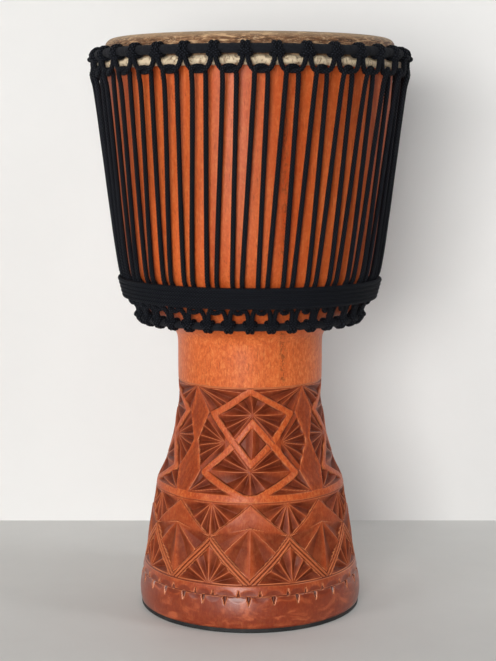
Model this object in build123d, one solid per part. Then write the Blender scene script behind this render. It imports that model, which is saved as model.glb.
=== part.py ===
from build123d import *
import math
import os

os.makedirs("parts", exist_ok=True)

# Rope-tuned goblet drum (djembe).  Millimetres, +Z up, origin at the centre of
# the foot where it stands.  Angles are measured about Z from the front (-Y)
# towards +X, so a point is (R sin a, -R cos a, z).

# ---------------------------------------------------------------- dimensions
height = 605.0            # floor to the top of the playing skin
loops = 34                # hitches on each ring
pitch = 360.0 / loops     # degrees between hitches
rope_d = 4.6              # braided polyester rope
rope_r = rope_d / 2
gap = 0.05                # running clearance between touching pieces

foot_r = 119.5            # outer radius of the foot
rubber_t = 4.7            # rubber rim under the foot
stem_r = 77.5             # polished waist
rim_r = 150.3             # wooden rim, outside
skin_t = 1.2              # goatskin
rim_round = 7.0           # bearing edge rounding, outside
rim_top = height - skin_t

ring_R, ring_z, ring_a = 160.8, 587.8, 4.3      # crown ring with its wrap
rod_a = 3.0                                      # bare steel of the crown ring
low_R, low_z, low_a = 115.5, 315.5, 3.5          # bottom ring with its wrap
low_rod_a = 2.5
roll_R, roll_z, roll_a = 156.2, 577.0, 5.2       # skin rolled over the flesh hoop
hoop_R, hoop_z, hoop_a = 156.2, 575.7, 2.5       # flesh hoop inside the roll

crown_phase = -1.6        # angle of a crown hitch
top_phase = 3.7           # angle of a top bend of the long rope
low_phase = 0.0           # angle of a bottom hitch
bot_phase = 5.3           # angle of a bottom bend of the long rope
top_half, bot_half = 2.3, 2.0   # half spread of the two legs at each bend, degrees

band_turns = 5            # turns of the tail wound over the verticals
band_top, band_pitch = 357.0, 4.7
band_R0, band_z0, band_slope = 138.5, 354.6, 0.262

# Wooden shell, outside and inside, as (R, z) from the foot up.
outer = [
    (118.6, rubber_t), (119.9, 12.0), (119.9, 23.0), (118.2, 34.0), (116.2, 45.0),
    (113.9, 56.4), (112.6, 67.6), (111.3, 79.0), (109.6, 90.0), (107.9, 101.0),
    (106.0, 112.0), (103.6, 121.0), (101.8, 132.5), (98.0, 145.0), (92.7, 156.0),
    (88.8, 167.0), (85.6, 178.0), (83.3, 189.0), (81.2, 200.0), (79.4, 211.0),
    (77.5, 222.0), (76.9, 233.0), (77.3, 248.0), (77.5, 260.0), (77.5, 274.0), (78.4, 288.0),
    (82.6, 296.0), (92.0, 305.5), (102.2, 315.5), (110.2, 325.0), (116.7, 334.0),
    (121.7, 342.0), (126.5, 351.5), (130.8, 362.0), (136.2, 385.0), (139.8, 415.0),
    (142.6, 450.0), (144.9, 490.0), (147.0, 530.0), (149.3, 562.0), (rim_r, 578.0),
]
inner = [
    (104.5, rubber_t), (101.0, 20.0), (90.0, 60.0), (77.0, 105.0), (64.0, 150.0),
    (55.5, 195.0), (51.5, 240.0), (50.5, 272.0), (54.0, 288.0), (68.0, 302.0), (88.0, 318.0),
    (104.0, 336.0), (115.0, 358.0), (122.0, 390.0), (127.5, 430.0), (131.0, 480.0),
    (133.0, 540.0), (133.5, 590.0),
]


# ---------------------------------------------------------------- rope routes
def at(deg, R, z):
    a = math.radians(deg)
    return (R * math.sin(a), -R * math.cos(a), z)


def off(deg, u, R, z):
    """A point u millimetres along the rim from the angle deg."""
    return at(deg + math.degrees(u / R), R, z)


def band_R(z):
    return band_R0 - band_slope * (band_z0 - z)


def crown_hitch(deg):
    """One cow hitch on the crown ring, from the loop on its left to the loop
    on its right: up the front, over the ring, under it, across the front as
    the bar, and back the same way on the other side."""
    p = (ring_a + rope_r + gap) / math.cos(math.radians(22.5))

    def w(u, alpha, rad=p):
        return (u, ring_R + rad * math.cos(math.radians(alpha)),
                ring_z + rad * math.sin(math.radians(alpha)))

    left = [
        (-11.9, 166.5, 563.8), (-8.6, 166.6, 565.4), (-5.0, 166.0, 570.2), (-2.4, 164.9, 576.0),
        w(-2.4, -45), w(-2.4, 0), w(-2.4, 45), w(-2.4, 90), w(-2.4, 135),
        w(-2.5, 180), w(-4.3, 225), (-7.0, ring_R + 0.2, ring_z - 7.3),
        (-7.45, ring_R + 5.6, ring_z - 7.7), (-5.6, ring_R + 9.6, ring_z - 7.6),
    ]
    right = [(-u, R, z) for u, R, z in reversed(left)]
    right[-1], right[-2], right[-3] = (11.9, 161.5, 563.8), (8.6, 161.6, 565.4), (5.0, 163.3, 570.2)
    return [off(deg, *q) for q in left + right]


def low_hitch(deg):
    """The same hitch upside down on the bottom ring."""
    p = (low_a + rope_r + gap) / math.cos(math.radians(22.5))

    def w(u, alpha, rad=p):
        return (u, low_R + rad * math.cos(math.radians(alpha)),
                low_z + rad * math.sin(math.radians(alpha)))

    left = [
        (-8.7, 130.0, 341.0), (-6.0, 129.5, 339.2), (-3.6, 125.6, 333.8), (-2.4, 121.6, 327.4),
        w(-2.4, 45), w(-2.4, 0), w(-2.4, -45), w(-2.4, -90), w(-2.4, -135),
        w(-2.5, -180), w(-4.3, -225), (-7.0, low_R + 0.2, low_z + 6.4),
        (-7.45, low_R + 5.4, low_z + 7.3), (-5.6, low_R + 9.9, low_z + 6.2),
    ]
    right = [(-u, R, z) for u, R, z in reversed(left)]
    right[-1], right[-2], right[-3] = (8.7, 124.8, 341.0), (6.0, 124.2, 339.0), (3.6, 123.3, 333.6)
    return [off(deg, *q) for q in left + right]


def ring_route(hitch, phase, first):
    pts = []
    for k in range(loops):
        pts += hitch(phase + pitch * (first + k))
    return pts


def line_R(z):
    """Centre of the long rope's straight runs."""
    return 139.5 + (z - 365.5) * 0.1142


def top_bend(n):
    """The long rope over crown loop n: up on the left in front, down on the
    right behind."""
    c = top_phase + pitch * n
    h = math.radians(top_half)
    return [
        at(c - top_half, line_R(552.0) + 0.6, 552.0),
        off(c, -164 * h, 165.4, 560.0), off(c, -5.0, 166.8, 566.0),
        off(c, -2.2, 165.4, 568.4), off(c, 2.2, 162.6, 568.4),
        off(c, 5.0, 161.4, 566.0), off(c, 162 * h, 161.2, 560.0),
        at(c + top_half, line_R(552.0) - 0.2, 552.0),
    ]


def bottom_bend(m):
    """The long rope through bottom loop m: down on the left in front, up on
    the right behind."""
    c = bot_phase + pitch * m
    h = math.radians(bot_half)
    return leg_down(m) + [
        off(c, -3.9, 129.5, 338.3), off(c, -1.8, 127.6, 335.9),
        off(c, 1.8, 125.5, 335.9), off(c, 3.9, 124.1, 338.4),
        off(c, 124.9 * h, 124.8, 342.4), at(c + bot_half, 128.0, 347.6),
        at(c + bot_half, 133.1, 356.0), at(c + bot_half, line_R(365.5), 365.5),
    ]


def leg_down(m):
    c = bot_phase + pitch * m
    return [
        at(c - bot_half, line_R(365.5), 365.5), at(c - bot_half, 133.1, 356.0),
        at(c - bot_half, 130.8, 348.0), at(c - bot_half, 130.2, 342.6),
    ]


first = loops // 2        # the long rope starts at the back
band_a0 = bot_phase + pitch * first - bot_half   # where its last leg comes down


def vertical_route():
    """Start under the band, zigzag once round, ready to turn into the band."""
    start = bottom_bend(first)[-4:]
    pts = list(start)
    for k in range(1, loops + 1):
        pts += top_bend(first + k)
        if k < loops:
            pts += bottom_bend(first + k)
    return pts + [at(band_a0, line_R(380.0), 380.0), at(band_a0, line_R(368.0), 368.0)]


def band_route():
    n = 36
    step = 360.0 / n
    pts = [at(band_a0, line_R(368.0), 368.0), at(band_a0, line_R(363.5), 363.5),
           at(band_a0 + 1.4, 139.9, 359.8), at(band_a0 + 5.0, 140.0, 357.6)]
    for i in range(1, band_turns * n + 1):
        a = i * step
        z = band_top - band_pitch * a / 360.0
        pts.append(at(band_a0 + a, band_R(z) + 0.35, z))
    return pts


# ---------------------------------------------------------------- solids
def corner_radii(pts):
    """Largest tangent arc that each corner's two runs allow."""
    v = [Vector(*p) for p in pts]
    out = []
    for a, b, c in zip(v, v[1:], v[2:]):
        d0, d1 = (b - a), (c - b)
        turn = math.radians(d0.get_angle(d1))
        out.append(0.46 * min(d0.length, d1.length) / math.tan(turn / 2) if turn > 1e-4 else 0)
    return out


def rope(pts, r=rope_r):
    """A round rope along straight runs joined by tangent arcs, as one solid.
    Every run is a true cylinder and every corner a true piece of a torus."""
    v = [Vector(*p) for p in pts]
    radii = corner_radii(pts)
    spans, here, length = [], v[0], 0.0
    for i, rad in enumerate(radii):
        a, b, c = v[i], v[i + 1], v[i + 2]
        d0, d1 = (b - a).normalized(), (c - b).normalized()
        turn = math.radians(d0.get_angle(d1))
        if rad == 0 or turn < 1e-4:
            continue
        t = rad * math.tan(turn / 2)
        p0, p1 = b - d0 * t, b + d1 * t
        spans.append(("line", here, p0))
        inward = (d1 - d0).normalized()
        centre = b + inward * (rad / math.cos(turn / 2))
        spans.append(("arc", p0, p1, centre, d0.cross(d1).normalized(), turn, d0))
        length += (p0 - here).length + rad * turn
        here = p1
    spans.append(("line", here, v[-1]))
    length += (v[-1] - here).length

    d = (v[1] - v[0]).normalized()
    x = d.cross(Vector(0, 0, 1))
    if x.length < 0.1:
        x = d.cross(Vector(1, 0, 0))
    x = x.normalized()
    faces = []
    at_p, at_d = v[0], d
    faces.append(Face(Wire(Edge.make_circle(r, Plane(origin=at_p, x_dir=x, z_dir=at_d)))))
    for s in spans:
        if s[0] == "line":
            run = s[2] - s[1]
            if run.length < 1e-6:
                continue
            ring = Edge.make_circle(r, Plane(origin=s[1], x_dir=x, z_dir=run.normalized()))
            faces.append(Face.extrude(ring, run))
            at_p, at_d = s[2], run.normalized()
        else:
            _, p0, p1, centre, axis, turn, d0 = s
            disc = Face(Wire(Edge.make_circle(r, Plane(origin=p0, x_dir=x, z_dir=d0))))
            bend = Solid.revolve(disc, math.degrees(turn), Axis(centre, axis))
            side = [f for f in bend.faces() if f.geom_type != GeomType.PLANE]
            faces += side
            # carry the seam round the bend
            x = x.rotate(Axis(Vector(0, 0, 0), axis), math.degrees(turn)).normalized()
            at_p, at_d = p1, d0.rotate(Axis(Vector(0, 0, 0), axis), math.degrees(turn)).normalized()
    faces.append(Face(Wire(Edge.make_circle(r, Plane(origin=at_p, x_dir=x, z_dir=at_d)))))
    body = Solid(Shell(faces))
    if body.volume < 0:
        body = Solid(Shell([-f for f in faces]))
    bends = [q for q in radii if q > 0]
    print(f"  rope length {length / 1000:.2f} m, tightest bend {min(bends):.1f} mm, "
          f"volume {body.volume:.0f} of {math.pi * r * r * length:.0f}, valid {body.is_valid}")
    return body


def save(shape, name, colour=None):
    shape.label = name
    ok = export_step(shape, f"parts/{name}.step")
    s = shape.bounding_box()
    print(f"{name}: solids {len(shape.solids())}, volume {shape.volume / 1000:.1f} cm3, "
          f"x {s.min.X:.1f}..{s.max.X:.1f} z {s.min.Z:.1f}..{s.max.Z:.1f} {ok}")


def torus(R, z, r, hollow=0.0):
    body = Solid.make_torus(R, r)
    if hollow:
        body = body - Solid.make_torus(R, hollow)
    return Pos(0, 0, z) * body


# Shell: a turned and carved hardwood goblet.
def shell_solid():
    o, i = outer, inner
    with BuildPart() as made:
        with BuildSketch(Plane.XZ):
            with BuildLine():
                Spline(*[(R, z) for R, z in o], tangents=None)
                top = rim_top - rim_round
                Line(o[-1], (rim_r, top))
                RadiusArc((rim_r, top), (rim_r - rim_round, rim_top), -rim_round)
                Line((rim_r - rim_round, rim_top), (137.5, rim_top))
                RadiusArc((137.5, rim_top), (133.5, rim_top - 4.0), -4.0)
                Line((133.5, rim_top - 4.0), i[-1])
                Spline(*[(R, z) for R, z in reversed(i)])
                Line(i[0], o[0])
            make_face()
        revolve(axis=Axis.Z)
    return made.part


def foot_solid():
    with BuildPart() as made:
        with BuildSketch(Plane.XZ):
            with BuildLine():
                Polyline((104.5, rubber_t), (104.5, 0), (117.4, 0), (118.6, 1.2), (118.6, rubber_t), close=True)
            make_face()
        revolve(axis=Axis.Z)
    return made.part


def head_solid():
    """Goatskin over the bearing edge, down the rim and rolled round the flesh
    hoop, dented where the crown hitches press on the roll."""
    top = rim_top - rim_round
    rr = rim_round + skin_t
    with BuildPart() as made:
        with BuildSketch(Plane.XZ):
            with BuildLine():
                Line((0, rim_top), (rim_r - rim_round, rim_top))
                RadiusArc((rim_r - rim_round, rim_top), (rim_r, top), rim_round)
                Line((rim_r, top), (rim_r, roll_z))
                Line((rim_r, roll_z), (rim_r + skin_t, roll_z))
                Line((rim_r + skin_t, roll_z), (rim_r + skin_t, top))
                RadiusArc((rim_r + skin_t, top), (rim_r - rim_round, height), -rr)
                Line((rim_r - rim_round, height), (0, height))
                Line((0, height), (0, rim_top))
            make_face()
            with Locations((roll_R, roll_z)):
                Circle(roll_a)
            with Locations((hoop_R, hoop_z)):
                Circle(hoop_a + 0.02, mode=Mode.SUBTRACT)
        revolve(axis=Axis.Z)
    body = made.part
    # one dent under each hitch
    half = math.degrees(9.9 / ring_R)
    dents = []
    for k in range(loops):
        a = crown_phase + pitch * k - 90.0 - half
        sector = Rot(0, 0, a) * Solid.revolve(
            Face(Wire(Edge.make_circle(ring_a + rope_d + 0.85, Plane(origin=(ring_R, 0, ring_z), x_dir=(1, 0, 0), z_dir=(0, -1, 0))))),
            2 * half, Axis((0, 0, 0), (0, 0, 1)))
        dents.append(sector)
    return body - dents


if __name__ == "__main__":
    save(shell_solid(), "shell")
    save(foot_solid(), "foot_rubber")
    save(head_solid(), "drum_head")
    save(torus(hoop_R, hoop_z, hoop_a), "flesh_hoop")
    save(torus(ring_R, ring_z, rod_a), "crown_ring")
    save(torus(ring_R, ring_z, ring_a, rod_a + 0.02), "crown_ring_wrap")
    save(torus(low_R, low_z, low_rod_a), "bottom_ring")
    save(torus(low_R, low_z, low_a, low_rod_a + 0.02), "bottom_ring_wrap")
    save(rope(ring_route(crown_hitch, crown_phase, first)), "crown_loops")
    save(rope(ring_route(low_hitch, low_phase, first)), "bottom_loops")
    save(rope(vertical_route()), "vertical_rope")
    save(rope(band_route()), "rope_band")
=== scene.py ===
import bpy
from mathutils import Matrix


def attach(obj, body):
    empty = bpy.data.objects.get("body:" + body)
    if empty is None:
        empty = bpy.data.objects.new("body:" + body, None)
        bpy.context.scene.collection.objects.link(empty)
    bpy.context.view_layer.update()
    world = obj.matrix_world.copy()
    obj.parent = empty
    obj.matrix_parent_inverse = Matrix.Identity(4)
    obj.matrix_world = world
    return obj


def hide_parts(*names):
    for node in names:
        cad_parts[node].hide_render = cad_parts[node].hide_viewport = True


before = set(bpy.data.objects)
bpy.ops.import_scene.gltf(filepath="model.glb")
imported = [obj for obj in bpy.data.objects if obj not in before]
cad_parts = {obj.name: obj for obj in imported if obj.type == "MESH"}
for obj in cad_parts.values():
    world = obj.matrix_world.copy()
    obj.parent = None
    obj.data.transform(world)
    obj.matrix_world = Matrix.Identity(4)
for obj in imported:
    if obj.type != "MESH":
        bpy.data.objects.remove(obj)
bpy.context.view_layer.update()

import math

import bpy
import numpy as np

MM = 0.001
WALL_Y = 0.33
rng = np.random.default_rng(7)


# =====================================================================
# Numbers shared with the CAD model, in millimetres
# =====================================================================
HEIGHT, LOOPS = 605.0, 34
PITCH = 360.0 / LOOPS
ROPE_R, GAP = 2.3, 0.05
RING_R, RING_Z, RING_A = 160.8, 587.8, 4.3
LOW_R, LOW_Z, LOW_A = 115.5, 315.5, 3.5
ROLL_R, ROLL_Z, ROLL_A = 156.2, 577.0, 5.2
RIM_R, SKIN_T, RIM_ROUND = 150.3, 1.2, 7.0
RIM_TOP = HEIGHT - SKIN_T
CROWN_PHASE, TOP_PHASE, LOW_PHASE, BOT_PHASE = -1.6, 3.7, 0.0, 5.3
TOP_HALF, BOT_HALF = 2.3, 2.0
BAND_TURNS, BAND_TOP, BAND_PITCH = 5, 357.0, 4.25
BRAID_N, BRAID_STEP = 10, 1.7          # points round a rope, and along it: one crown every other point
RUBBER_T = 4.7

OUTER = [
    (118.6, RUBBER_T), (119.9, 12.0), (119.9, 23.0), (118.2, 34.0), (116.2, 45.0),
    (113.9, 56.4), (112.6, 67.6), (111.3, 79.0), (109.6, 90.0), (107.9, 101.0),
    (106.0, 112.0), (103.6, 121.0), (101.8, 132.5), (98.0, 145.0), (92.7, 156.0),
    (88.8, 167.0), (85.6, 178.0), (83.3, 189.0), (81.2, 200.0), (79.4, 211.0),
    (77.5, 222.0), (76.9, 233.0), (77.3, 248.0), (77.5, 260.0), (77.5, 274.0), (78.4, 288.0),
    (82.6, 296.0), (92.0, 305.5), (102.2, 315.5), (110.2, 325.0), (116.7, 334.0),
    (121.7, 342.0), (126.5, 351.5), (130.8, 362.0), (136.2, 385.0), (139.8, 415.0),
    (142.6, 450.0), (144.9, 490.0), (147.0, 530.0), (149.3, 562.0), (RIM_R, 578.0),
]
INNER = [
    (104.5, RUBBER_T), (101.0, 20.0), (90.0, 60.0), (77.0, 105.0), (64.0, 150.0),
    (55.5, 195.0), (51.5, 240.0), (50.5, 272.0), (54.0, 288.0), (68.0, 302.0), (88.0, 318.0),
    (104.0, 336.0), (115.0, 358.0), (122.0, 390.0), (127.5, 430.0), (131.0, 480.0),
    (133.0, 540.0), (133.5, 590.0),
]


# =====================================================================
# Camera, light and stage
# =====================================================================
def look(loc, pitch_deg, lens, shift=(0.0, 0.0)):
    cam = bpy.data.cameras.new("camera")
    cam.sensor_fit = "VERTICAL"
    cam.sensor_height = 36.0
    cam.lens = lens
    cam.shift_x, cam.shift_y = shift
    cam.clip_start = 0.05
    ob = bpy.data.objects.new("camera", cam)
    ob.location = loc
    ob.rotation_euler = (math.radians(90 - pitch_deg), 0, 0)
    bpy.context.scene.collection.objects.link(ob)
    bpy.context.scene.camera = ob
    return ob


look((0.0, -1.578, 0.5053), 7.504, 36.0 * 1477.0 / 661.0, (-2.0 / 661.0, 0.0))


def area(name, loc, target, size, power, colour=(1, 1, 1), size_y=None, spread=None):
    lamp = bpy.data.lights.new(name, "AREA")
    lamp.shape = "RECTANGLE" if size_y else "SQUARE"
    lamp.size = size
    if size_y:
        lamp.size_y = size_y
    lamp.energy = power
    lamp.color = colour
    if spread:
        lamp.spread = math.radians(spread)
    ob = bpy.data.objects.new(name, lamp)
    ob.location = loc
    d = np.array(target, float) - np.array(loc, float)
    d /= np.linalg.norm(d)
    from mathutils import Vector
    ob.rotation_euler = Vector(d).to_track_quat("-Z", "Y").to_euler()
    bpy.context.scene.collection.objects.link(ob)
    return ob


area("window", (-0.60, -2.72, 0.62), (0, 0, 0.34), 1.0, 56, (1.0, 0.985, 0.965), size_y=0.8)
area("window_left", (-2.0, -1.75, 0.95), (0, 0, 0.30), 0.8, 15, (1.0, 0.99, 0.975))
area("ceiling", (-0.4, -0.5, 2.5), (0, 0.1, 0.3), 1.7, 6, (1.0, 1.0, 1.0))
area("wall_wash", (1.7, -0.55, 1.3), (0.85, WALL_Y, 0.45), 0.6, 3.4, (0.97, 0.98, 1.0), spread=80)

world = bpy.data.worlds.new("studio")
world.use_nodes = True
world.node_tree.nodes["Background"].inputs[0].default_value = (0.92, 0.95, 1.0, 1)
world.node_tree.nodes["Background"].inputs[1].default_value = 0.075
bpy.context.scene.world = world
bpy.context.scene.view_settings.view_transform = "Standard"
bpy.context.scene.view_settings.look = "None"


# =====================================================================
# Node materials
# =====================================================================
class Mat:
    """A node material built step by step."""

    def __init__(self, name):
        self.m = bpy.data.materials.new(name)
        self.m.use_nodes = True
        self.t = self.m.node_tree
        self.t.nodes.clear()
        self.out = self.t.nodes.new("ShaderNodeOutputMaterial")
        self.b = self.t.nodes.new("ShaderNodeBsdfPrincipled")
        self.t.links.new(self.b.outputs[0], self.out.inputs[0])

    def put(self, sock, value):
        if value is None:
            return
        if isinstance(value, bpy.types.NodeSocket):
            self.t.links.new(value, sock)
        elif hasattr(value, "__len__"):
            sock.default_value = tuple(value) + ((1.0,) if len(value) == 3 and len(sock.default_value) == 4 else ())
        else:
            sock.default_value = value

    def coord(self, which="Object"):
        return self.t.nodes.new("ShaderNodeTexCoord").outputs[which]

    def attr(self, name, out="Fac"):
        n = self.t.nodes.new("ShaderNodeAttribute")
        n.attribute_name = name
        return n.outputs[out]

    def uv(self):
        return self.t.nodes.new("ShaderNodeUVMap").outputs[0]

    def scale(self, vec, s, loc=(0, 0, 0), rot=(0, 0, 0)):
        n = self.t.nodes.new("ShaderNodeMapping")
        self.put(n.inputs["Vector"], vec)
        n.inputs["Scale"].default_value = s
        n.inputs["Location"].default_value = loc
        n.inputs["Rotation"].default_value = rot
        return n.outputs[0]

    def noise(self, vec, scale=5.0, detail=4.0, rough=0.55, dist=0.0, out="Fac"):
        n = self.t.nodes.new("ShaderNodeTexNoise")
        self.put(n.inputs["Vector"], vec)
        n.inputs["Scale"].default_value = scale
        n.inputs["Detail"].default_value = detail
        n.inputs["Roughness"].default_value = rough
        n.inputs["Distortion"].default_value = dist
        return n.outputs[out]

    def voronoi(self, vec, scale=5.0, feature="F1", out="Distance", rand=1.0):
        n = self.t.nodes.new("ShaderNodeTexVoronoi")
        n.feature = feature
        self.put(n.inputs["Vector"], vec)
        n.inputs["Scale"].default_value = scale
        n.inputs["Randomness"].default_value = rand
        return n.outputs[out]

    def math(self, op, a, b=None, c=None, clamp=False):
        n = self.t.nodes.new("ShaderNodeMath")
        n.operation = op
        n.use_clamp = clamp
        for i, v in enumerate((a, b, c)):
            self.put(n.inputs[i], v)
        return n.outputs[0]

    def span(self, v, a, b, c=0.0, d=1.0):
        n = self.t.nodes.new("ShaderNodeMapRange")
        self.put(n.inputs["Value"], v)
        for k, x in zip(("From Min", "From Max", "To Min", "To Max"), (a, b, c, d)):
            n.inputs[k].default_value = x
        return n.outputs[0]

    def ramp(self, v, *stops):
        n = self.t.nodes.new("ShaderNodeValToRGB")
        self.put(n.inputs[0], v)
        e = n.color_ramp.elements
        while len(e) < len(stops):
            e.new(0.5)
        for el, (p, c) in zip(e, stops):
            el.position = p
            el.color = tuple(c) + (1.0,)
        return n.outputs[0]

    def mix(self, f, a, b, mode="MIX"):
        n = self.t.nodes.new("ShaderNodeMix")
        n.data_type = "RGBA"
        n.blend_type = mode
        self.put(n.inputs[0], f)
        self.put(n.inputs[6], a)
        self.put(n.inputs[7], b)
        return n.outputs[2]

    def split(self, vec):
        n = self.t.nodes.new("ShaderNodeSeparateXYZ")
        self.put(n.inputs[0], vec)
        return n.outputs

    def join(self, x=0.0, y=0.0, z=0.0):
        n = self.t.nodes.new("ShaderNodeCombineXYZ")
        for i, v in enumerate((x, y, z)):
            self.put(n.inputs[i], v)
        return n.outputs[0]

    def bump(self, height, strength=0.5, dist=0.001, normal=None):
        n = self.t.nodes.new("ShaderNodeBump")
        self.put(n.inputs["Height"], height)
        n.inputs["Strength"].default_value = strength
        n.inputs["Distance"].default_value = dist
        if normal is not None:
            self.put(n.inputs["Normal"], normal)
        return n.outputs[0]

    def set(self, **kw):
        names = {"colour": "Base Color", "rough": "Roughness", "normal": "Normal", "coat": "Coat Weight",
                 "coat_rough": "Coat Roughness", "sheen": "Sheen Weight", "sheen_rough": "Sheen Roughness",
                 "sheen_tint": "Sheen Tint", "metal": "Metallic", "spec": "Specular IOR Level",
                 "sub": "Subsurface Weight", "sub_scale": "Subsurface Scale", "sub_radius": "Subsurface Radius"}
        for k, v in kw.items():
            self.put(self.b.inputs[names[k]], v)
        return self.m


def srgb(r, g, b):
    f = lambda c: c / 12.92 if c <= 0.04045 else ((c + 0.055) / 1.055) ** 2.4
    return (f(r / 255), f(g / 255), f(b / 255))


def wood_material():
    m = Mat("oiled_hardwood")
    p = m.coord()
    xyz = m.split(p)
    cut, ridge_highlight, inside, plain, steep = (m.attr(a) for a in ("cut", "ridge_highlight", "inside", "plain", "steep"))
    # growth bands wander slowly; fibres and pores run up the log
    warp = m.noise(m.scale(p, (1, 1, 0.35)), 7.0, 3, 0.5)
    long_p = m.scale(p, (1, 1, 0.085))
    fibres = m.noise(long_p, 430.0, 5, 0.62)
    strands = m.noise(long_p, 110.0, 4, 0.55)
    bands = m.noise(m.join(m.math("ADD", xyz[0], m.math("MULTIPLY", warp, 0.05)), xyz[1],
                           m.math("MULTIPLY", xyz[2], 0.14)), 22.0, 2, 0.5)
    blotch = m.noise(p, 9.0, 3, 0.5)
    mottle = m.noise(m.scale(p, (1, 1, 0.5)), 420.0, 4, 0.66, 0.6)
    base = m.ramp(bands, (0.30, srgb(188, 76, 30)), (0.5, srgb(207, 96, 44)), (0.7, srgb(194, 82, 34)))
    base = m.mix(m.math("MULTIPLY", m.span(strands, 0.42, 0.70), 0.30), base, srgb(158, 56, 22))
    base = m.mix(m.math("MULTIPLY", m.span(fibres, 0.5, 0.74), 0.30), base, srgb(228, 136, 78))
    base = m.mix(m.math("MULTIPLY", m.span(mottle, 0.50, 0.64), m.span(xyz[2], 0.30, 0.34, 0.44, 0.20)), base, srgb(234, 150, 86))
    base = m.mix(m.math("MULTIPLY", m.span(mottle, 0.49, 0.36), m.span(xyz[2], 0.30, 0.34, 0.52, 0.18)), base, srgb(150, 60, 24))
    # pores: short dark dashes
    pores = m.noise(m.scale(p, (1, 1, 0.05)), 1150.0, 2, 0.5)
    pore = m.span(pores, 0.62, 0.70)
    base = m.mix(m.math("MULTIPLY", pore, 0.55), base, srgb(104, 42, 20))
    # painted sheen: the stem is lightened all round, standing in for its broad highlight
    base = m.mix(m.math("MULTIPLY", m.span(xyz[2], 0.2465, 0.2495), m.span(xyz[2], 0.32, 0.305, 0.0, 0.10)), base, srgb(232, 150, 92))
    # a knotty streak in the stem, right of the front
    knot = m.math("MULTIPLY", m.span(m.math("ABSOLUTE", m.math("SUBTRACT", xyz[0], 0.0335)), 0.0045, 0.0015),
                  m.math("MULTIPLY", m.span(xyz[2], 0.249, 0.256), m.span(xyz[1], 0.0, -0.02)))
    knot = m.math("MULTIPLY", knot, m.span(m.noise(m.scale(p, (1, 1, 0.5)), 420.0, 3, 0.6), 0.47, 0.62))
    base = m.mix(m.math("MULTIPLY", knot, 0.7), base, srgb(96, 40, 18))
    # the carved fields took the stain; the plain stem less so
    base = m.mix(m.span(xyz[2], 0.2495, 0.2460, 0.0, 0.34), base, srgb(160, 68, 33))
    # the foot is stained redder and darker than the bowl, most of all low down
    base = m.mix(m.span(xyz[2], 0.139, 0.118, 0.0, 0.18), base, srgb(150, 62, 32))
    base = m.mix(m.span(xyz[2], 0.056, 0.034, 0.0, 0.66), base, srgb(106, 32, 12))
    # painted shade: the flat leaf panels are darkened in blotches, standing in for the highlight they do not catch
    base = m.mix(m.math("MULTIPLY", plain, m.span(m.noise(m.scale(p, (1, 1, 0.5), rot=(0.5, 0.3, 0)), 330.0, 3, 0.6), 0.38, 0.6, 0.05, 0.62)),
                 base, srgb(132, 52, 26))
    # waxed foot: cloudy, with darker flames
    flame = m.noise(m.scale(p, (1, 1, 1.9)), 42.0, 4, 0.6, 0.8)
    foot = m.span(xyz[2], 0.14, 0.12)
    base = m.mix(m.math("MULTIPLY", m.math("MULTIPLY", m.span(flame, 0.50, 0.66), foot), 0.40), base, srgb(112, 38, 18))
    base = m.mix(m.math("MULTIPLY", m.math("MULTIPLY", m.span(flame, 0.48, 0.34), foot), 0.42), base, srgb(214, 112, 68))
    # the cuts are darkened, most in the upper field: partly stain soaked up by the cut wood, partly painted shade in
    # the hollows
    groovy = m.math("ADD", m.span(xyz[2], 0.128, 0.142, 0.34, 0.60), m.span(xyz[2], 0.0505, 0.0475, 0.0, 0.4))
    cut_stain_and_shade = m.math("MULTIPLY", m.span(cut, 0.05, 0.17), groovy)
    base = m.mix(cut_stain_and_shade, base, srgb(112, 40, 18))
    # cuts across the grain drink more stain
    base = m.mix(m.math("MULTIPLY", steep, m.span(xyz[2], 0.128, 0.142, 0.60, 0.62)), base, srgb(84, 27, 12))
    # painted shade: the deepest parts of the cuts are darkened nearly to black
    base = m.mix(m.math("MULTIPLY", m.span(cut, 0.42, 1.2), 0.60), base, srgb(56, 16, 6))
    # painted highlight: the convex edges of the cuts are lightened
    base = m.mix(m.math("MULTIPLY", ridge_highlight, m.span(xyz[2], 0.128, 0.142, 0.85, 0.85), clamp=True), base, srgb(230, 140, 90))
    base = m.mix(m.math("MULTIPLY", inside, 0.75), base, srgb(150, 92, 58))
    h = m.math("ADD", m.math("MULTIPLY", fibres, 0.5), m.math("MULTIPLY", mottle, 0.5))
    h = m.math("SUBTRACT", h, m.math("MULTIPLY", pore, 0.5))
    tool = m.noise(m.scale(p, (1, 1, 0.8)), 240.0, 2, 0.5, 0.6)
    carved = m.span(xyz[2], 0.250, 0.246)
    h2 = m.math("MULTIPLY", tool, m.math("ADD", m.math("MULTIPLY", carved, 0.7), 0.05))
    n1 = m.bump(h, 0.30, 0.0004)
    n2 = m.bump(h2, 0.40, 0.0008, n1)
    rough = m.math("ADD", m.span(blotch, 0.3, 0.7, 0.36, 0.47), m.math("MULTIPLY", cut, 0.12))
    rough = m.math("ADD", rough, m.math("MULTIPLY", inside, 0.3))
    return m.set(colour=base, rough=rough, normal=n2, coat=m.span(xyz[2], 0.052, 0.045, 0.06, 0.55), coat_rough=0.30, spec=0.16)


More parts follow.
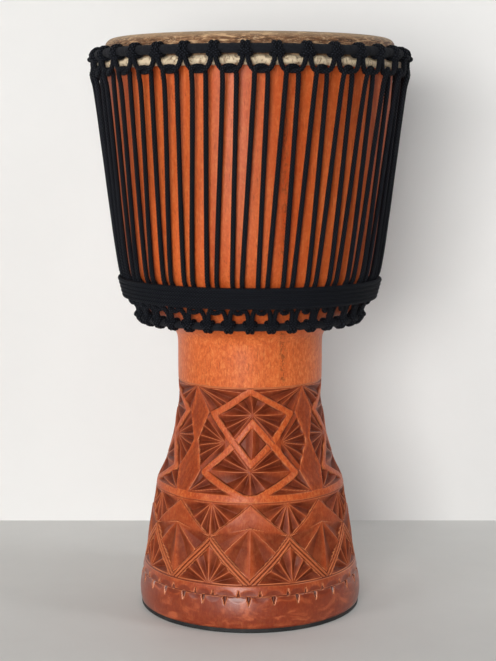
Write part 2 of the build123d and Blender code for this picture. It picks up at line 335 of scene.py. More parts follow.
def braid_height(m, around, period):
    """Over-and-under braid from the rope's own (turn, length) map."""
    uv = m.split(m.uv())
    a = m.math("MULTIPLY", uv[0], around)
    s = m.math("DIVIDE", uv[1], period)
    p, q = m.math("ADD", a, s), m.math("SUBTRACT", a, s)
    fp, fq = m.math("FRACT", p), m.math("FRACT", q)
    par = m.math("ADD", m.math("FLOOR", p), m.math("FLOOR", q))
    over = m.math("ABSOLUTE", m.math("MODULO", par, 2.0))
    cp = m.math("ABSOLUTE", m.math("SUBTRACT", m.math("MULTIPLY", fp, 2.0), 1.0))
    cq = m.math("ABSOLUTE", m.math("SUBTRACT", m.math("MULTIPLY", fq, 2.0), 1.0))
    across = m.math("ADD", m.math("MULTIPLY", cp, m.math("SUBTRACT", 1.0, over)), m.math("MULTIPLY", cq, over))
    along = m.math("ADD", m.math("MULTIPLY", cq, m.math("SUBTRACT", 1.0, over)), m.math("MULTIPLY", cp, over))
    h = m.math("SQRT", m.math("SUBTRACT", 1.0, m.math("POWER", across, 2.0)), clamp=True)
    return m.math("MULTIPLY", h, m.math("SUBTRACT", 1.0, m.math("MULTIPLY", m.math("POWER", along, 2.0), 0.55)))


def rope_material(name):
    m = Mat(name)
    h = braid_height(m, BRAID_N / 2.0, 2 * BRAID_STEP * MM)
    uv = m.uv()
    yarn = m.noise(m.scale(uv, (60, 2600, 1)), 1.0, 3, 0.6)
    dust = m.noise(m.coord(), 300.0, 3, 0.6)
    # painted highlight on the braid's crowns, painted shade in the dips between the strands
    col = m.ramp(h, (0.0, (0.0002, 0.0002, 0.0004)), (0.55, (0.0010, 0.0012, 0.0019)), (0.80, (0.0052, 0.0060, 0.0088)), (1.0, (0.036, 0.041, 0.055)))
    col = m.mix(m.math("MULTIPLY", m.span(yarn, 0.52, 0.75), 0.28), col, (0.020, 0.0225, 0.030))
    col = m.mix(m.math("MULTIPLY", m.span(dust, 0.64, 0.8), 0.10), col, (0.05, 0.048, 0.047))
    n1 = m.bump(h, 1.0, 0.0008)
    n2 = m.bump(yarn, 0.35, 0.0003, n1)
    return m.set(colour=col, rough=m.span(h, 0, 1, 0.85, 0.52), normal=n2, sheen=0.0, spec=0.07)


def skin_material():
    m = Mat("goatskin")
    p = m.coord()
    xyz = m.split(p)
    roll, side = m.attr("roll"), m.attr("side")
    uv = m.uv()
    cloud = m.noise(p, 14.0, 4, 0.6, 0.4)
    mott = m.noise(p, 60.0, 4, 0.62, 0.5)
    fine = m.noise(p, 900.0, 3, 0.6)
    base = m.ramp(cloud, (0.3, srgb(186, 160, 122)), (0.5, srgb(206, 180, 142)), (0.7, srgb(172, 140, 100)))
    base = m.mix(m.math("MULTIPLY", m.span(mott, 0.48, 0.7), 0.5), base, srgb(150, 112, 74))
    rho = m.math("SQRT", m.math("ADD", m.math("MULTIPLY", xyz[0], xyz[0]), m.math("MULTIPLY", xyz[1], xyz[1])))
    veil = m.noise(m.scale(p, (1, 1.8, 1)), 30.0, 5, 0.6, 0.6)
    base = m.mix(m.math("MULTIPLY", m.span(veil, 0.50, 0.70), 0.38), base, srgb(232, 212, 176))
    base = m.mix(m.math("MULTIPLY", m.span(veil, 0.46, 0.30), 0.30), base, srgb(140, 104, 68))
    base = m.mix(m.math("MULTIPLY", m.span(rho, 0.112, 0.146), m.span(cloud, 0.35, 0.6, 0.25, 0.75)), base, srgb(140, 106, 72))
    dots = m.span(m.voronoi(p, 420.0), 0.10, 0.20, 1.0, 0.0)
    base = m.mix(m.math("MULTIPLY", m.math("MULTIPLY", dots, m.span(mott, 0.42, 0.6)), 0.5), base, srgb(92, 62, 38))
    # short shaved hair lies along the side of the head, in overlapping streaks
    folds = m.noise(m.scale(uv, (46.0, 260.0, 1)), 1.0, 5, 0.62, 1.4)
    tips = m.noise(m.scale(uv, (150.0, 420.0, 1)), 1.0, 4, 0.65, 2.0)
    sidec = m.ramp(folds, (0.36, srgb(66, 40, 24)), (0.46, srgb(112, 76, 48)), (0.54, srgb(150, 108, 74)), (0.64, srgb(214, 176, 134)))
    sidec = m.mix(m.math("MULTIPLY", m.span(tips, 0.55, 0.68), 0.75), sidec, srgb(226, 196, 158))
    sidec = m.mix(m.math("MULTIPLY", m.span(tips, 0.45, 0.34), 0.65), sidec, srgb(74, 46, 28))
    # painted highlight: the side is lightened towards its top, where it rounds over the bearing edge
    sidec = m.mix(m.span(xyz[2], 0.5985, 0.6035, 0.0, 0.55), sidec, srgb(202, 174, 138))
    base = m.mix(side, base, sidec)
    # the roll is scraped pale, with brown creases
    crease = m.noise(m.scale(uv, (330.0, 150.0, 1), rot=(0, 0, 0.25)), 1.0, 4, 0.65, 1.2)
    rollc = m.mix(m.math("MULTIPLY", m.span(crease, 0.53, 0.63), 0.85), srgb(222, 203, 172), srgb(118, 80, 46))
    rollc = m.mix(m.math("MULTIPLY", m.span(mott, 0.5, 0.72), 0.35), rollc, srgb(206, 178, 136))
    base = m.mix(roll, base, rollc)
    pores = m.voronoi(p, 1100.0)
    h = m.math("ADD", m.math("MULTIPLY", fine, 0.5), m.math("MULTIPLY", mott, 0.8))
    h = m.math("ADD", h, m.math("MULTIPLY", m.math("MULTIPLY", m.math("ADD", folds, tips), side), 2.2))
    h = m.math("SUBTRACT", h, m.math("MULTIPLY", m.math("MULTIPLY", m.span(crease, 0.5, 0.66), roll), 1.3))
    h = m.math("SUBTRACT", h, m.math("MULTIPLY", m.span(pores, 0.0, 0.25, 1.0, 0.0), 0.15))
    return m.set(colour=base, rough=m.span(mott, 0.3, 0.7, 0.46, 0.66), normal=m.bump(h, 0.7, 0.0010),
                 sub=0.08, sub_scale=0.003, sub_radius=(1.0, 0.55, 0.3), spec=0.4)


def cloth_material():
    m = Mat("wound_cotton_strip")
    uv = m.split(m.uv())
    warp = m.math("SINE", m.math("MULTIPLY", uv[1], 2 * math.pi / 0.0007))
    weft = m.math("SINE", m.math("MULTIPLY", m.math("MULTIPLY", uv[0], 0.027), 2 * math.pi / 0.0007))
    weave = m.math("MULTIPLY", warp, weft)
    fuzz = m.noise(m.coord(), 800.0, 3, 0.65)
    lint = m.noise(m.coord(), 130.0, 3, 0.6)
    col = m.ramp(fuzz, (0.3, (0.003, 0.0032, 0.0045)), (0.7, (0.014, 0.0155, 0.021)))
    col = m.mix(m.math("MULTIPLY", m.span(lint, 0.6, 0.8), 0.18), col, (0.05, 0.05, 0.052))
    h = m.math("ADD", m.math("MULTIPLY", weave, 0.35), fuzz)
    return m.set(colour=col, rough=0.85, normal=m.bump(h, 0.5, 0.0004), sheen=0.03, sheen_rough=0.6, spec=0.12)


def rubber_material():
    m = Mat("black_rubber")
    p = m.coord()
    grain, wear = m.noise(p, 1500.0, 3, 0.6), m.noise(p, 60.0, 4, 0.6)
    col = m.mix(m.math("MULTIPLY", m.span(wear, 0.5, 0.75), 0.5), (0.010, 0.010, 0.011), (0.06, 0.055, 0.05))
    return m.set(colour=col, rough=m.span(wear, 0.3, 0.7, 0.5, 0.75), normal=m.bump(grain, 0.3, 0.0003), spec=0.4)


def steel_material():
    m = Mat("rolled_steel_rod")
    p = m.coord()
    scale, rust = m.noise(p, 90.0, 4, 0.6), m.noise(p, 30.0, 5, 0.65)
    col = m.mix(m.span(scale, 0.4, 0.7), (0.22, 0.22, 0.23), (0.36, 0.35, 0.34))
    col = m.mix(m.math("MULTIPLY", m.span(rust, 0.55, 0.72), 0.7), col, (0.20, 0.07, 0.025))
    return m.set(colour=col, rough=m.span(rust, 0.4, 0.7, 0.35, 0.75), metal=m.span(rust, 0.5, 0.72, 1.0, 0.2),
                 normal=m.bump(scale, 0.3, 0.0003))


WOOD, SKIN, CLOTH = wood_material(), skin_material(), cloth_material()
RUBBER, STEEL = rubber_material(), steel_material()
ROPE = rope_material("braided_black_rope")


# =====================================================================
# Mesh helpers
# =====================================================================
def build(name, verts, faces, mat, uv=None, attrs=None, smooth=True):
    """faces: list of (n,k) integer arrays, one per face size."""
    me = bpy.data.meshes.new(name)
    verts = np.ascontiguousarray(verts, dtype=np.float32)
    faces = [np.asarray(f, dtype=np.int32) for f in faces if len(f)]
    loops = np.concatenate([f.reshape(-1) for f in faces])
    counts = np.concatenate([np.full(len(f), f.shape[1], np.int32) for f in faces])
    starts = np.concatenate([[0], np.cumsum(counts)[:-1]]).astype(np.int32)
    me.vertices.add(len(verts))
    me.vertices.foreach_set("co", verts.reshape(-1))
    me.loops.add(len(loops))
    me.loops.foreach_set("vertex_index", loops)
    me.polygons.add(len(counts))
    me.polygons.foreach_set("loop_start", starts)
    me.polygons.foreach_set("use_smooth", np.full(len(counts), smooth))
    me.update(calc_edges=True)
    if uv is not None:
        layer = me.uv_layers.new(name="UVMap")
        layer.data.foreach_set("uv", np.asarray(uv, np.float32).reshape(-1))
    for k, v in (attrs or {}).items():
        a = me.attributes.new(k, "FLOAT", "POINT")
        a.data.foreach_set("value", np.asarray(v, np.float32))
    me.validate()
    me.materials.append(mat)
    ob = bpy.data.objects.new(name, me)
    bpy.context.scene.collection.objects.link(ob)
    return ob


def spline(points, n=40):
    """Natural cubic spline through (R, z) points, by chord length."""
    P = np.array(points, float)
    t = np.concatenate([[0], np.cumsum(np.hypot(*np.diff(P, axis=0).T))])
    h = np.diff(t)
    N = len(t)
    A = np.zeros((N, N))
    B = np.zeros((N, 2))
    A[0, 0] = A[-1, -1] = 1
    for i in range(1, N - 1):
        A[i, i - 1], A[i, i], A[i, i + 1] = h[i - 1], 2 * (h[i - 1] + h[i]), h[i]
        B[i] = 6 * ((P[i + 1] - P[i]) / h[i] - (P[i] - P[i - 1]) / h[i - 1])
    M = np.linalg.solve(A, B)
    s = np.linspace(0, t[-1], (N - 1) * n + 1)
    k = np.clip(np.searchsorted(t, s, side="right") - 1, 0, N - 2)
    a, b, hh = (t[k + 1] - s)[:, None], (s - t[k])[:, None], h[k][:, None]
    return (M[k] * a ** 3 + M[k + 1] * b ** 3) / (6 * hh) + (P[k] / hh - M[k] * hh / 6) * a + (P[k + 1] / hh - M[k + 1] * hh / 6) * b


def resample(P, step):
    s = np.concatenate([[0], np.cumsum(np.linalg.norm(np.diff(P, axis=0), axis=1))])
    n = max(2, int(round(s[-1] / step)) + 1)
    q = np.linspace(0, s[-1], n)
    return np.stack([np.interp(q, s, P[:, i]) for i in range(P.shape[1])], axis=1)


def waves(theta, z, seed, n=7, lo=1, hi=9, zl=30.0):
    """Smooth repeatable unevenness round the drum, about -1 to 1."""
    r = np.random.default_rng(seed)
    out = 0
    for _ in range(n):
        k = r.integers(lo, hi + 1)
        out = out + np.sin(k * theta + r.uniform(0, 6.28) + z / zl * r.uniform(0.4, 1.6)) * r.uniform(0.5, 1)
    return out / (n * 0.5)


def clamp(x, a=0.0, b=1.0):
    return np.minimum(np.maximum(x, a), b)


def smooth(x, a, b):
    t = clamp((x - a) / (b - a))
    return t * t * (3 - 2 * t)


# =====================================================================
# The carving, as a depth below the turned surface (millimetres)
# =====================================================================
def seg(x, z, ax, az, bx, bz):
    dx, dz = bx - ax, bz - az
    t = clamp(((x - ax) * dx + (z - az) * dz) / np.maximum(dx * dx + dz * dz, 1e-9))
    return np.hypot(x - ax - t * dx, z - az - t * dz)


def line_dist(t, z, k, pts):
    """Distance in mm to a broken line given as (degrees, z)."""
    d = np.full(t.shape, 1e9)
    for (a, az), (b, bz) in zip(pts, pts[1:]):
        d = np.minimum(d, seg(t * k, z, a * k, az, b * k, bz))
    return d


def fan(x, z, rays, depth, grow=0.85):
    """Chip-cut fan round (0,0): sharp ridges along the rays, V cuts between.
    Returns depth of cut; x, z in mm from the fan's centre."""
    ang = np.degrees(np.arctan2(z, x))
    rho = np.hypot(x, z)
    rays = np.array(sorted(rays), float)
    a = rays[0] + (ang - rays[0]) % 360.0
    i = np.clip(np.searchsorted(rays, a, side="right") - 1, 0, len(rays) - 2)
    lo, hi = rays[i], rays[i + 1]
    f = clamp((a - lo) / (hi - lo))
    tri = 1 - np.abs(2 * f - 1)
    half = rho * np.sin(np.radians(np.minimum(hi - lo, 80.0) / 2))
    return np.minimum(depth, half * grow) * tri


def inside_diamond(t, z, c, top, mid, bot):
    return np.where(z > mid, t < c * (top - z) / (top - mid), t < c * (z - bot) / (mid - bot))


def carving(theta_deg, z, R):
    """Depth of cut (mm, positive is into the wood) at an angle and height."""
    k = R * math.pi / 180.0
    th = np.radians(theta_deg)
    # the carver's hand: nothing is quite where the layout says
    wob = 0.55 * waves(th, z, 3, 8, 2, 11, 26.0)
    wz = 0.75 * waves(th, z, 5, 8, 2, 11, 31.0)
    lean = 1.9 * smooth(z, 158, 190) * (1 - smooth(z, 222, 247))
    tt = theta_deg - wob - lean
    zz = z - wz * smooth(z, 28, 60) * (1 - smooth(z, 232, 247))
    cut = np.zeros(z.shape)
    plain = np.zeros(z.shape)          # 1 where the tool left a flat, hatched panel

    # ---------------- upper field: two interlaced diamonds, four times round
    t = np.abs((tt + 45.0) % 90.0 - 45.0)
    sgn = np.sign((tt + 45.0) % 90.0 - 45.0)
    up = (z >= 131.0) & (z < 247.6)
    x = t * k
    A = [(0, 243.8), (31.3, 218.8), (0, 169.0)]
    B = [(0, 211.8), (31.5, 159.7), (0, 133.2)]
    dA, dB = line_dist(t, zz, k, A), line_dist(t, zz, k, B)
    w = 2.85
    d = np.minimum(dA, dB)
    edge = clamp((d - w) / 1.25)                      # 0 on a strap, 1 beyond its wall
    inA = inside_diamond(t, zz, 31.3, 243.8, 218.8, 169.0)
    inB = inside_diamond(t, zz, 31.5, 211.8, 159.7, 133.2)
    tl = np.interp(zz, [131, 140, 161, 190.8, 219.6, 246.5, 248], [39.5, 40.2, 34.8, 43.0, 35.2, 45.0, 45.4])
    leaf = (t - tl) * k                               # mm inside the leaf's edge
    f1 = fan(x, zz - 219.6, [-90, -49, -26, -1.5, 39, 90], 4.0)
    f2 = fan(x, zz - 162.2, [-90, -45, -1, 22, 46, 90], 4.0)
    f3 = np.abs(x) * 0.0 + clamp(0.42 * x, 0, 3.0)    # small diamond: one upright ridge
    ft = fan(x - 45.0 * k, zz - 246.4, [-180, -176, -157, -148, -122, -90], 3.1)
    fs = fan(x - 20.6 * k, zz - 191.0, [-90, -48, -30, -11, 9, 30, 46, 90], 3.5)
    fb = fan(x - 40.2 * k, zz - 139.8, [-270, -250, -215, -188, -180, -90], 3.6)
    body = np.where(inA & inB, f3, np.where(inA, f1, np.where(inB, f2, 0)))
    outside = ~(inA | inB)
    body = np.where(outside & (zz > 218.8), ft, body)
    body = np.where(outside & (zz <= 218.8) & (zz > 160.0), fs, body)
    body = np.where(outside & (zz <= 160.0), fb, body)
    body = body + 0.45
    wall_leaf = clamp(-leaf / 1.2)
    level = body * edge * wall_leaf
    # strap edges are eased, and the strap that dives is scored on both sides
    ease = 0.22 * smooth(d, w - 1.0, w) * (d < w)
    over = np.where(sgn < 0, dA, dB)
    under = np.where(sgn < 0, dB, dA)
    score = np.where((under < w) & (np.abs(over - w - 0.2) < 0.55), 0.8 * (1 - np.abs(over - w - 0.2) / 0.55), 0)
    level = np.where(d < w, ease + score, level)
    on_leaf = (leaf > 0) & (d > w)
    dish = 0.35 * smooth(leaf, 0, 5.0)
    level = np.where(on_leaf, dish, level)
    topg = 1.0 * (1 - clamp(np.abs(z - 247.2) / 0.9))
    level = np.maximum(level * clamp((247.4 - z) / 1.2), topg)
    # plain girdle between the two fields
    gird = smooth(zz, 139.2, 140.6) * 1.0
    in_gird = (zz < 139.9) & (d > w * 0.98)
    level = np.where(in_gird, 0.0, level)
    line = np.where((zz > 138.8) & (zz < 141.5) & (d > w) & (leaf < 0), 0.9 * (1 - clamp(np.abs(zz - 140.0) / 0.8)), 0)
    level = np.maximum(level, line * clamp((d - w) / 0.6))
    cut = np.where(up, level, cut)
    plain = np.where(up & on_leaf & (zz > 139.9), 1.0, plain)

    # ---------------- lower field: big diamonds and fans, eight times round
    t = np.abs((tt + 22.5) % 45.0 - 22.5)
    x = t * k
    lo = (z < 132.4) & (z >= 48.4)
    z1 = 130.6 - (130.6 - 97.2) * t / 22.0            # upper side of the big diamond
    zi = 107.1 - (107.1 - 97.3) * t / 21.8            # foot of its plain roof
    zz1 = 53.2 + (97.0 - 53.2) * t / 21.9             # lower side, top of the double strap
    slope = math.cos(math.atan(1.05))
    finv = fan(x - 22.4 * k, zz - 130.4, [-220, -180, -142, -114, -90, -66], 4.3)
    fbig = fan(x, zz - 107.1, [-90, -43, -13.5, 40], 4.4, 0.50)
    wing = np.degrees(np.arctan2(zz - 107.1, np.maximum(x, 1e-6))) > -43
    fbig = np.where(wing, fbig * 0.55 + 0.05 * np.maximum(x, 0), fbig)
    fup = fan(x - 22.4 * k, zz - 49.4, [60, 90, 122, 150, 180], 4.2)
    up_side = clamp((zz - z1) * slope / 1.1)          # distance from the lines, for sloping ends
    lvl = np.where(zz > z1, (finv + 0.35) * up_side * clamp((131.6 - zz) / 1.1),
                   np.where(zz > zi, 0.12 + 1.5 * clamp((z1 - zz) / np.maximum(z1 - zi, 0.5)) ** 1.3 * clamp((22.0 - t) / 5.0),
                            np.where(zz > zz1, (fbig + 0.45) * clamp((zz - zz1) * slope / 1.1), 0.0)))
    s1, s2, s3 = (zz - zz1) * slope, (zz - zz1 + 5.3) * slope, (zz - zz1 + 10.4) * slope
    groove = lambda s, wd=1.15, dp=2.1: dp * (1 - clamp(np.abs(s) / wd))
    lvl = np.where(zz < zz1 - 10.4, (fup + 0.4) * clamp(-s3 / 1.1) * clamp((zz - 49.6) / 1.1), lvl)
    for s in (s1, s2, s3):
        lvl = np.maximum(lvl, groove(s))
    crown = ((zz < zz1) & (zz > zz1 - 5.3)) | ((zz < zz1 - 5.3) & (zz > zz1 - 10.4))
    lvl = np.where(crown, np.maximum(lvl, 0.18 * np.abs(np.sin((zz - zz1) * math.pi / 5.2)) * -1 + 0.18), lvl)
    lvl = np.maximum(lvl, groove((zz - z1) * slope, 1.0, 1.4))
    lvl = np.maximum(lvl, groove(zz - 131.7, 1.0, 1.2))
    lvl = np.maximum(lvl * smooth(zz, 48.4, 49.4), groove(zz - 49.2, 1.1, 1.5))
    cut = np.where(lo, lvl, cut)

    # ---------------- notched border: a score line, notches and shallow scallops
    b = (z < 48.4) & (z > 25.0)
    zl = 37.9 + 0.5 * waves(th, z * 0, 11, 6, 2, 9)
    tn = theta_deg + 0.3 + 0.9 * waves(th, z * 0, 12, 6, 3, 17)
    a = ((tn + 6.0) % 12.0 - 6.0) * k
    a2 = ((tn + 1.1 * waves(th, z * 0, 13, 5, 3, 15)) % 12.0 - 6.0) * k
    down = clamp((z - 28.2) / (zl - 28.2)) * 3.0
    dn = np.where((z < zl + 0.3) & (np.abs(a) < down), 3.2 * (1 - np.abs(a) / np.maximum(down, 0.2)) * smooth(z, 28.0, 30.5), 0)
    upw = clamp((44.8 - z) / (44.8 - zl)) * 2.3
    upn = np.where((z > zl - 0.3) & (np.abs(a2) < upw), 2.6 * (1 - np.abs(a2) / np.maximum(upw, 0.2)), 0)
    l1 = 0.85 * clamp(1 - (a / 10.2) ** 2 - ((z - zl) / 7.0) ** 2) * (z > zl)
    l2 = 0.75 * clamp(1 - (a2 / 9.4) ** 2 - ((z - zl) / 6.4) ** 2) * (z <= zl)
    lvl = np.maximum.reduce([dn, upn, l1, l2, 1.5 * (1 - clamp(np.abs(z - zl) / 0.95))])
    cut = np.where(b, lvl, cut)
    return cut, plain


# =====================================================================
# Shell
# =====================================================================
def ring_faces(n_rows, n_cols, base=0, flip=False):
    r, c = np.meshgrid(np.arange(n_rows - 1), np.arange(n_cols), indexing="ij")
    c2 = (c + 1) % n_cols
    f = np.stack([base + r * n_cols + c, base + r * n_cols + c2, base + (r + 1) * n_cols + c2, base + (r + 1) * n_cols + c], -1).reshape(-1, 4)
    return f[:, ::-1] if flip else f


def make_shell():
    fine, coarse = ((1024, 256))
    dz = 0.6
    # the stem runs straight up into the shadow of the bottom ring
    neck = {288.0: 77.6, 296.0: 78.9, 305.5: 87.6}
    o = spline([(neck.get(z, r), z) for r, z in OUTER])
    top = RIM_TOP - RIM_ROUND
    arc = [(RIM_R - RIM_ROUND + RIM_ROUND * math.cos(a), top + RIM_ROUND * math.sin(a)) for a in np.linspace(0, math.pi / 2, 9)]
    arc2 = [(137.5 - 4 * math.sin(a), RIM_TOP - 4 + 4 * math.cos(a)) for a in np.linspace(0, math.pi / 2, 6)]
    i = spline(INNER)
    zc = np.arange(25.2, 249.0, dz)                        # carved rows
    Rc = np.interp(zc, o[:, 1], o[:, 0])
    below = resample(o[o[:, 1] < 24.7], 2.4)
    above = resample(o[o[:, 1] > 249.4], 2.8)
    rest = np.vstack([above, [(RIM_R, 588.0)], arc, [(140.4, RIM_TOP)], arc2, resample(i[::-1], 9.0)])
    # coarse part continues from the top of the carving over the rim, down the
    # inside and back out along the underside to the foot of the carving
    under = np.vstack([[(111.0, RUBBER_T)], below])
    verts, faces, cut_all, ridge_highlight_all, in_all, plain_all, steep_all = [], [], [], [], [], [], []
    th = np.arange(fine) * 2 * math.pi / fine
    TH, Z = np.meshgrid(th, zc)
    RR = np.repeat(Rc[:, None], fine, 1)
    cut, plain = carving(np.degrees(TH), Z, RR)
    # outward normal of the turned surface
    dR = np.gradient(Rc, zc)
    nl = np.hypot(1, dR)
    nr, nz = (1 / nl)[:, None], (-dR / nl)[:, None]
    hand = 0.10 * waves(TH, Z, 21, 9, 3, 23, 14.0) * smooth(Z, 26, 40)
    depth = cut + hand * (cut > 0.02)
    R2, Z2 = RR - depth * nr, Z - depth * nz
    verts.append(np.stack([R2 * np.sin(TH), -R2 * np.cos(TH), Z2], -1).reshape(-1, 3))
    # painted highlight: convex edges of the cuts are lightened in the colour, by their height above the local mean
    h = -cut
    m = h.copy()
    rad = 1
    for ax in (0, 1):
        acc = np.zeros_like(m)
        for s in range(-rad, rad + 1):
            acc += np.roll(m, s, ax)
        m = acc / (2 * rad + 1)
    ridge_highlight = clamp((h - m) * 3.2 - 0.30)
    gz = np.gradient(cut, zc, axis=0)
    gx = (np.roll(cut, -1, 1) - np.roll(cut, 1, 1)) / (2 * RR * (th[1] - th[0]))
    steep = clamp((np.hypot(gx, 1.25 * gz) - 0.25) / 0.9)
    ridge_highlight[:rad], ridge_highlight[-rad:] = 0, 0
    cut_all.append(clamp(cut / 2.4).reshape(-1)); ridge_highlight_all.append(ridge_highlight.reshape(-1))
    in_all.append(np.zeros(cut.size)); plain_all.append(plain.reshape(-1)); steep_all.append(steep.reshape(-1))
    n_c = len(zc)
    faces.append(ring_faces(n_c, fine))
    # coarse loop
    loop = np.vstack([rest, under])
    th2 = np.arange(coarse) * 2 * math.pi / coarse
    LR, LT = np.meshgrid(loop[:, 0], th2, indexing="ij")
    LZ = np.repeat(loop[:, 1][:, None], coarse, 1)
    base = n_c * fine
    verts.append(np.stack([LR * np.sin(LT), -LR * np.cos(LT), LZ], -1).reshape(-1, 3))
    n_l = len(loop)
    inner_rows = np.zeros(n_l)
    n_above = len(above) + 1
    inner_rows[n_above + 12:len(rest)] = 1
    cut_all.append(np.zeros(n_l * coarse)); ridge_highlight_all.append(np.zeros(n_l * coarse))
    in_all.append(np.repeat(inner_rows, coarse)); plain_all.append(np.zeros(n_l * coarse)); steep_all.append(np.zeros(n_l * coarse))
    faces.append(ring_faces(n_l, coarse, base))
    # seams between the fine and the coarse rows
    q = fine // coarse
    c = np.arange(coarse)
    fi = [(c * q + j) % fine for j in range(q + 1)]
    top_row = (n_c - 1) * fine
    up = np.stack([top_row + v for v in fi] + [base + (c + 1) % coarse, base + c], -1)
    last = base + (n_l - 1) * coarse
    dn = np.stack([v for v in fi][::-1] + [last + c, last + (c + 1) % coarse], -1)
    faces += [up, dn]
    ob = build("carved_shell", np.vstack(verts) * MM, faces, WOOD,
               attrs={"cut": np.concatenate(cut_all), "ridge_highlight": np.concatenate(ridge_highlight_all),
                      "inside": np.concatenate(in_all), "plain": np.concatenate(plain_all), "steep": np.concatenate(steep_all)})
    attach(ob, "root"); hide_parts("shell")
    return ob


# =====================================================================
# Rope routes, in millimetres, as in the CAD model
# =====================================================================
def at(deg, R, z):
    a = math.radians(deg)
    return (R * math.sin(a), -R * math.cos(a), z)


def off(deg, u, R, z):
    return at(deg + math.degrees(u / R), R, z)


def band_R(z):
    return 138.5 - 0.262 * (354.6 - z)


def line_R(z):
    return 139.5 + (z - 365.5) * 0.1142


def crown_hitch(deg):
    p = (RING_A + 1.15) / math.cos(math.radians(22.5))       # pulled tight, the rope sinks into the wrapping

    def w(u, alpha):
        return (u, RING_R + p * math.cos(math.radians(alpha)), RING_Z + p * math.sin(math.radians(alpha)))

    left = [
        (-11.9, 165.6, 566.6), (-8.4, 165.8, 567.2), (-5.2, 165.6, 570.4), (-2.6, 164.6, 576.6),
        w(-2.3, -45), w(-2.3, 0), w(-2.3, 45), w(-2.3, 90), w(-2.3, 135),
        w(-2.4, 180), w(-3.6, 225), (-4.9, RING_R + 0.6, RING_Z - 6.0),
        (-5.4, RING_R + 5.0, RING_Z - 4.9), (-4.0, RING_R + 7.3, RING_Z - 3.6),
    ]
    right = [(-u, R, z) for u, R, z in reversed(left)]
    right[-1], right[-2], right[-3] = (11.9, 161.5, 566.6), (8.4, 161.6, 567.2), (5.2, 163.3, 570.4)
    return [off(deg, *q) for q in left + right]


def low_hitch(deg):
    p = (LOW_A + 1.15) / math.cos(math.radians(22.5))

    def w(u, alpha):
        return (u, LOW_R + p * math.cos(math.radians(alpha)), LOW_Z + p * math.sin(math.radians(alpha)))

    left = [
        (-8.7, 127.6, 336.0), (-5.6, 127.0, 335.0), (-2.9, 124.0, 330.4), (-1.9, 120.4, 325.0),
        w(-2.0, 45), w(-2.1, 0), w(-2.1, -45), w(-2.1, -90), w(-2.2, -135),
        w(-2.4, -180), w(-3.6, -225), (-4.9, LOW_R + 0.8, LOW_Z + 5.0),
        (-5.6, LOW_R + 4.6, LOW_Z + 3.4), (-4.2, LOW_R + 6.6, LOW_Z + 1.2),
    ]
    right = [(-u, R, z) for u, R, z in reversed(left)]
    right[-1], right[-2], right[-3] = (8.7, 123.4, 336.0), (5.6, 122.8, 335.0), (2.9, 121.8, 330.2)
    return [off(deg, *q) for q in left + right]


FIRST = LOOPS // 2


def ring_route(hitch, phase):
    pts = []
    for k in range(LOOPS):
        pts += hitch(phase + PITCH * (FIRST + k))
    return pts


def top_bend(n):
    c = TOP_PHASE + PITCH * n
    h = math.radians(TOP_HALF)
    return [
        at(c - TOP_HALF, line_R(552.0) + 0.6, 552.0),
        off(c, -164 * h, 165.0, 563.8), off(c, -5.9, 166.2, 569.4),
        off(c, -2.6, 165.4, 571.0), off(c, 2.6, 162.6, 571.0),
        off(c, 5.9, 161.4, 569.4), off(c, 162 * h, 161.2, 563.8),
        at(c + TOP_HALF, line_R(552.0) - 0.2, 552.0),
    ]


def leg_down(m):
    c = BOT_PHASE + PITCH * m
    return [
        at(c - BOT_HALF, line_R(365.5), 365.5), at(c - BOT_HALF, 133.1, 356.0),
        at(c - BOT_HALF, 130.8, 348.0), at(c - BOT_HALF, 129.6, 340.0),
    ]


def bottom_bend(m):
    c = BOT_PHASE + PITCH * m
    h = math.radians(BOT_HALF)
    return leg_down(m) + [
        off(c, -4.4, 128.2, 332.8), off(c, -2.2, 126.6, 330.6),
        off(c, 2.2, 124.6, 330.6), off(c, 4.4, 123.2, 332.9),
        off(c, 124.9 * h, 123.6, 339.0), at(c + BOT_HALF, 127.6, 347.0),
        at(c + BOT_HALF, 133.1, 356.0), at(c + BOT_HALF, line_R(365.5), 365.5),
    ]


BAND_A0 = BOT_PHASE + PITCH * FIRST - BOT_HALF


def vertical_route():
    pts = bottom_bend(FIRST)[-4:]
    for k in range(1, LOOPS + 1):
        pts += top_bend(FIRST + k)
        if k < LOOPS:
            pts += bottom_bend(FIRST + k)
    return pts + [at(BAND_A0, line_R(380.0), 380.0), at(BAND_A0, line_R(368.0), 368.0)]


def band_route():
    n = 36
    pts = [at(BAND_A0, line_R(368.0), 368.0), at(BAND_A0, line_R(363.5), 363.5),
           at(BAND_A0 + 1.4, 139.9, 359.8), at(BAND_A0 + 5.0, 140.0, 357.6)]
    for i in range(1, BAND_TURNS * n + 1):
        a = i * 360.0 / n
        z = BAND_TOP - BAND_PITCH * a / 360.0
        pts.append(at(BAND_A0 + a, band_R(z) + 0.35, z))
    return pts


def smooth_line(pts):
    """The route's own NURBS spline, as points in millimetres."""
    cu = bpy.data.curves.new("route", "CURVE")
    cu.dimensions = "3D"
    sp = cu.splines.new("NURBS")
    sp.points.add(len(pts) - 1)
    sp.points.foreach_set("co", np.c_[np.array(pts, float) * MM, np.ones(len(pts))].reshape(-1).astype(np.float32))
    sp.order_u = 3
    sp.use_endpoint_u = True
    sp.resolution_u = 8
    ob = bpy.data.objects.new("route", cu)
    bpy.context.scene.collection.objects.link(ob)
    bpy.context.view_layer.update()
    me = bpy.data.meshes.new_from_object(ob)
    co = np.zeros(len(me.vertices) * 3, np.float32)
    me.vertices.foreach_get("co", co)
    bpy.data.objects.remove(ob)
    bpy.data.curves.remove(cu)
    bpy.data.meshes.remove(me)
    P = co.reshape(-1, 3).astype(float) / MM
    keep = np.concatenate([[True], np.linalg.norm(np.diff(P, axis=0), axis=1) > 1e-4])
    return P[keep]


